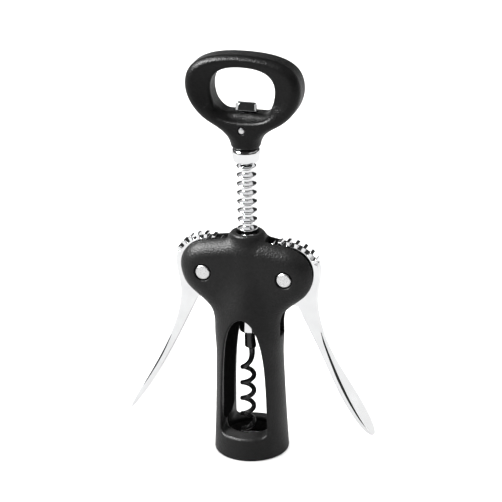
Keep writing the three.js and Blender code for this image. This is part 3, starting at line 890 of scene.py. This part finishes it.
def floor_paint(name):
    """Pale matt paint, white to the eye and a mid grey in reflections."""
    m = Material(name)
    m.set(Specular_IOR_Level=0.1)
    reflected, seen_directly = 0.46, 0.86
    cloud = m.remap(m.noise(40, 3), 0.97, 1.0)
    seen = m.add("ShaderNodeLightPath").outputs["Is Camera Ray"]
    shade = m.math("MULTIPLY", cloud, m.remap(seen, reflected, seen_directly, 0, 1))
    m.feed(m.colour(shade, (0, 0.0), (1, 1.0)), "Base Color")
    m.feed(m.remap(m.noise(6, 2), 0.75, 0.9), "Roughness")
    return m.material


# ------------------------------------------------------------------ assembly


def fit(thing, body, slot, material, *nodes):
    """thing stands for CAD nodes, rides on their body and wears a material."""
    thing.data.materials.append(material)
    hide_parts(*nodes)
    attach(thing, body)


# The frame's plastic carries painted shade inside the bell's hollow and on its window jambs.
black_body = matte_black("frame_black", (CAVITY_RADIUS + 0.1) * MM)
# The handle is the frame's black plastic with half its base tone and less sheen: painted shade that darkens
# the whole handle.
black_handle = matte_black("handle_black", sheen=0.17, tone=0.5, roughness=0.35)
lever_plating = chrome("lever_chrome", 0.05)
spindle_plating = chrome("spindle_chrome", 0.06)
rivet_steel = satin_steel("pin_steel")
opener_steel = polished_steel("opener_steel")
coating = worm_coating("worm_coating")

fit(make_body(), "frame", "frame_black", black_body, "body_frame")
fit(make_handle(), "spindle", "handle_black", black_handle, "handle_grip")
for word, side in (("left", -1), ("right", 1)):
    fit(make_lever(f"{word}_arm", side), f"lever_{word}", "lever_chrome", lever_plating, f"{word}_lever")
    fit(make_rivet(f"{word}_rivet", side), "frame", "pin_steel", rivet_steel, f"{word}_pivot_pin")
fit(make_spindle(), "spindle", "spindle_chrome", spindle_plating, "rack_spindle")
fit(make_ferrule(), "ferrule", "spindle_chrome", spindle_plating, "neck_ferrule")
fit(make_worm(), "spindle", "worm_coating", coating, "worm")
worm_rivet = make_pin("worm_rivet", WORM_PIN_RADIUS, 3.5, 0.2, WORM_PIN_Z)
fit(worm_rivet, "spindle", "pin_steel", rivet_steel, "worm_pin")
handle_rivet = make_pin("handle_rivet", HANDLE_PIN_RADIUS, 6.95, 0.4, HANDLE_PIN_Z)
fit(handle_rivet, "spindle", "pin_steel", rivet_steel, "handle_pin")
fit(make_opener(), "spindle", "opener_steel", opener_steel, "bottle_opener")

# ------------------------------------------------------------------ stage, light and camera


def area_light(name, centre, size, power):
    """A soft box that faces the middle of the object."""
    aim = Vector((0, 0, 0.1))
    data = bpy.data.lights.new(name, "AREA")
    data.shape = "RECTANGLE"
    data.size, data.size_y = size
    data.energy = power
    thing = bpy.data.objects.new(name, data)
    bpy.context.scene.collection.objects.link(thing)
    thing.location = centre
    thing.rotation_mode = "QUATERNION"
    thing.rotation_quaternion = (aim - Vector(centre)).to_track_quat("-Z", "Y")
    return thing


def sky_light(name, strength):
    """Very soft light from above and a little to the left, the same everywhere on the floor."""
    data = bpy.data.lights.new(name, "SUN")
    data.energy = strength
    data.angle = math.radians(110)
    thing = bpy.data.objects.new(name, data)
    bpy.context.scene.collection.objects.link(thing)
    thing.rotation_euler = (math.radians(-8), math.radians(-10), 0)
    return thing


def make_floor():
    mesh = bpy.data.meshes.new("floor")
    side, front, back = 1.6, -1.3, 2.6
    corners = [(-side, front, 0), (side, front, 0), (side, back, 0), (-side, back, 0)]
    mesh.from_pydata(corners, [], [(0, 1, 2, 3)])
    thing = bpy.data.objects.new("floor", mesh)
    bpy.context.scene.collection.objects.link(thing)
    thing.data.materials.append(floor_paint("floor_paint"))


def make_world():
    """A studio: white to the eye, and in reflections dark, with a low white band behind and grey sides."""
    world = bpy.data.worlds.new("studio")
    bpy.context.scene.world = world
    world.use_nodes = True
    world.node_tree.nodes.clear()
    m = Nodes(world.node_tree)
    backdrop, dark, band, sides = 1.05, 0.035, 1.115, 0.6
    x, y, z = m.split(m.add("ShaderNodeTexCoord").outputs["Generated"])
    low, behind = m.remap(z, 1, 0, 0.05, 0.25, soft=True), m.remap(y, 0, 1, 0.12, 0.40, soft=True)
    high, beside = (m.remap(v, 0, 1, 0.40, 0.65, soft=True) for v in (z, m.math("ABSOLUTE", x)))
    glow = m.math("MULTIPLY_ADD", m.math("MULTIPLY", low, behind), band, dark)
    glow = m.math("MULTIPLY_ADD", m.math("MULTIPLY", high, beside), sides, glow)
    seen = m.add("ShaderNodeLightPath").outputs["Is Camera Ray"]
    light = m.add("ShaderNodeBackground", Color=(1, 1, 1, 1))
    strength = m.math("MULTIPLY_ADD", seen, m.math("SUBTRACT", backdrop, glow), glow)
    m.links.new(strength, light.inputs["Strength"])
    m.links.new(light.outputs["Background"], m.add("ShaderNodeOutputWorld").inputs["Surface"])


def make_camera():
    """Long lens from the front, a little to the right and above."""
    azimuth, elevation, roll = map(math.radians, (17.68, 22.41, 1.20))
    distance, aim = 1.169, Vector((0, 0, 0.1042))
    back = Vector((
        math.sin(azimuth) * math.cos(elevation),
        -math.cos(azimuth) * math.cos(elevation),
        math.sin(elevation),
    ))
    data = bpy.data.cameras.new("camera")
    data.lens = 174.3
    data.sensor_width = 36
    data.shift_x = 0.0056
    data.clip_start, data.clip_end = 0.05, 20
    camera = bpy.data.objects.new("camera", data)
    bpy.context.scene.collection.objects.link(camera)
    camera.location = aim + back * distance
    camera.rotation_mode = "QUATERNION"
    camera.rotation_quaternion = (-back).to_track_quat("-Z", "Y") @ Quaternion((0, 0, 1), -roll)
    bpy.context.scene.camera = camera


make_floor()
make_world()
key = area_light("key", (-0.64, -0.34, 0.80), (0.36, 0.36), 46)
key.visible_diffuse = False
overhead = sky_light("overhead", 7.0)
overhead.visible_glossy = False
make_camera()
bpy.context.scene.view_settings.view_transform = "Standard"
bpy.context.scene.view_settings.look = "None"
